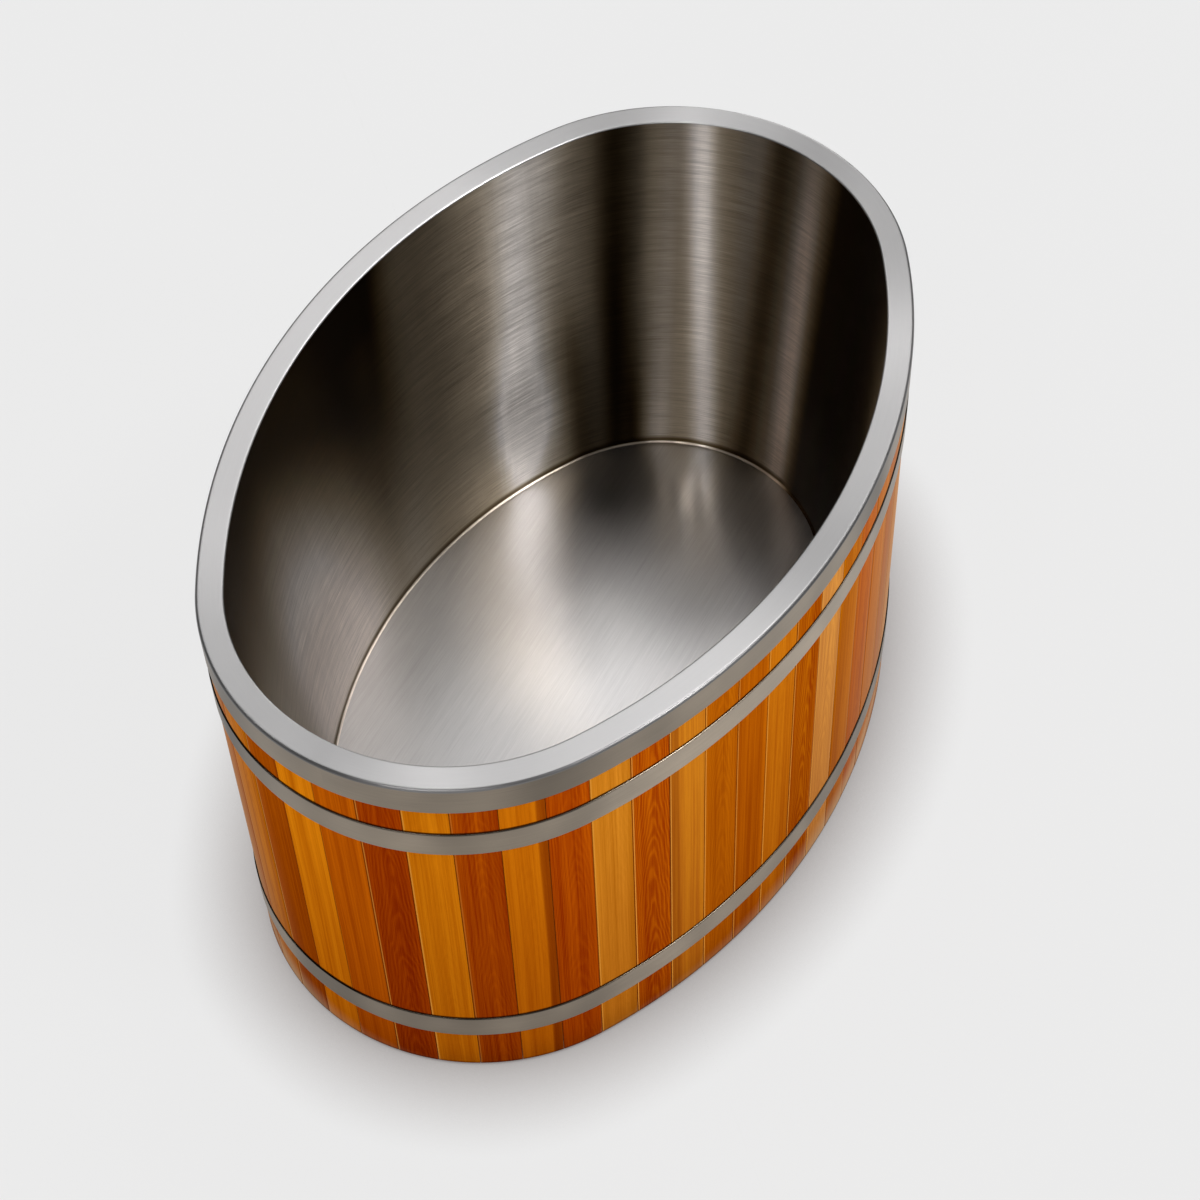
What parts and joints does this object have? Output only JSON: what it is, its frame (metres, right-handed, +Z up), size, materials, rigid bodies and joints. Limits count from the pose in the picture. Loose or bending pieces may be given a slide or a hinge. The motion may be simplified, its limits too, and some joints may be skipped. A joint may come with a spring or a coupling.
{
  "type": "cold plunge tub",
  "caption": "Oval one-person cold plunge tub: tapered stainless basin with a flat rim in a cedar stave shell held by steel hoops, on levelling feet, with a floor drain.",
  "frame": {"origin": "on the ground under the centre of the oval", "axes": "+X along the oval's long axis, +Y towards the side with the drain outlet, +Z up"},
  "size_m": [1.3, 0.8599, 0.72],
  "materials": {
    "steel_rim": "satin stainless, fine even grain",
    "steel_side": "brushed stainless, grain running round the tub",
    "steel_basin": "brushed stainless, soft reflections",
    "cedar_dark": "oiled red cedar, dark red-brown",
    "cedar_mid": "oiled red cedar, orange-brown",
    "cedar_light": "oiled red cedar, light amber",
    "cedar_pale": "oiled red cedar, pale tan",
    "plywood": "exterior plywood",
    "pine": "treated softwood",
    "foam": "rigid insulation foam",
    "rubber": "black rubber",
    "black_plastic": "moulded black nylon",
    "grey_plastic": "grey rigid pipe",
    "zinc": "zinc plated steel"
  },
  "bodies": {
    "tub": {"rim_ring": "steel_rim", "rim_apron": "steel_side", "rim_seal": "rubber", "basin_wall": "steel_basin", "basin_floor": "steel_basin", "upper_hoop": "steel_side", "lower_hoop": "steel_side", "hoop_joint_plates": "steel_side", "hoop_rivets": "steel_side", "wall_insulation": "foam", "floor_insulation": "foam", "deck_board": "plywood", "base_board": "plywood", "bearers": "pine", "cross_bearers": "pine", "deck_screws": "zinc", "foot_inserts": "zinc", "foot_locknuts": "zinc", "drain_flange": "steel_rim", "drain_gasket": "rubber", "drain_locknut": "black_plastic", "drain_elbow": "black_plastic", "drain_pipe": "grey_plastic", "outlet_fitting": "steel_rim", "outlet_nut": "black_plastic", "stave_pair_01": "cedar_light", "stave_pair_02": "cedar_mid", "stave_pair_03": "cedar_dark", "stave_pair_04": "cedar_light", "stave_pair_05": "cedar_dark", "stave_pair_06": "cedar_light", "stave_pair_07": "cedar_dark", "stave_pair_08": "cedar_pale", "stave_pair_09": "cedar_dark", "stave_pair_10": "cedar_light", "stave_pair_11": "cedar_mid", "stave_pair_12": "cedar_mid", "stave_pair_13": "cedar_light", "stave_pair_14": "cedar_dark", "stave_pair_15": "cedar_pale", "stave_pair_16": "cedar_mid", "stave_pair_17": "cedar_dark", "stave_pair_18": "cedar_light", "stave_pair_19": "cedar_mid", "stave_pair_20": "cedar_pale", "stave_pair_21": "cedar_dark", "stave_pair_22": "cedar_mid", "stave_pair_23": "cedar_light", "stave_pair_24": "cedar_dark", "stave_pair_25": "cedar_mid", "stave_pair_26": "cedar_mid", "stave_pair_27": "cedar_light", "stave_pair_28": "cedar_mid"},
    "foot_1": {"levelling_foot_1": "black_plastic"},
    "foot_2": {"levelling_foot_2": "black_plastic"},
    "foot_3": {"levelling_foot_3": "black_plastic"},
    "foot_4": {"levelling_foot_4": "black_plastic"},
    "foot_5": {"levelling_foot_5": "black_plastic"},
    "foot_6": {"levelling_foot_6": "black_plastic"},
    "stopper": {"drain_stopper": "rubber"}
  },
  "joints": [
    {"name": "foot_1_height", "type": "slide", "parent": "tub", "child": "foot_1", "axis": [0, 0, -1], "range_m": [0, 0.012]},
    {"name": "foot_2_height", "type": "slide", "parent": "tub", "child": "foot_2", "axis": [0, 0, -1], "range_m": [0, 0.012]},
    {"name": "foot_3_height", "type": "slide", "parent": "tub", "child": "foot_3", "axis": [0, 0, -1], "range_m": [0, 0.012]},
    {"name": "foot_4_height", "type": "slide", "parent": "tub", "child": "foot_4", "axis": [0, 0, -1], "range_m": [0, 0.012]},
    {"name": "foot_5_height", "type": "slide", "parent": "tub", "child": "foot_5", "axis": [0, 0, -1], "range_m": [0, 0.012]},
    {"name": "foot_6_height", "type": "slide", "parent": "tub", "child": "foot_6", "axis": [0, 0, -1], "range_m": [0, 0.012]},
    {"name": "stopper_lift", "type": "slide", "parent": "tub", "child": "stopper", "axis": [0, 0, 1], "range_m": [0, 0.06]}
  ]
}
